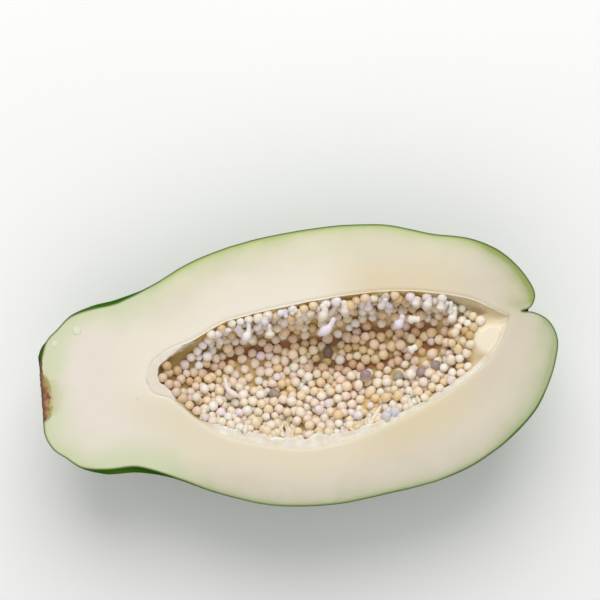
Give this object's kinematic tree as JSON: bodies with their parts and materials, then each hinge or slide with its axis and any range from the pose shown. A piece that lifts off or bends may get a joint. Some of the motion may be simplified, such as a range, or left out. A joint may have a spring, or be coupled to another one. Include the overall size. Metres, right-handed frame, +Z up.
{
  "type": "halved papaya",
  "caption": "Half of an unripe green papaya, cut lengthwise, resting on its round back with the flat cut face and its hollow of white seeds facing up.",
  "frame": {"origin": "under the middle of the fruit, in the plane it rests on", "axes": "+X along the fruit from the stem end to the blossom end, +Y across it to the side with the longer flat of flesh, +Z up out of the cut face"},
  "size_m": [0.2498, 0.1324, 0.0623],
  "materials": {
    "fruit": "moist cut flesh inside, satin green waxy skin outside, dry brown corky stem scar",
    "seed_lining": "wet pearly unripe seeds on a soft cream lining"
  },
  "bodies": {
    "root": {"fruit_half": "fruit", "seed_lining": "seed_lining"}
  },
  "joints": []
}
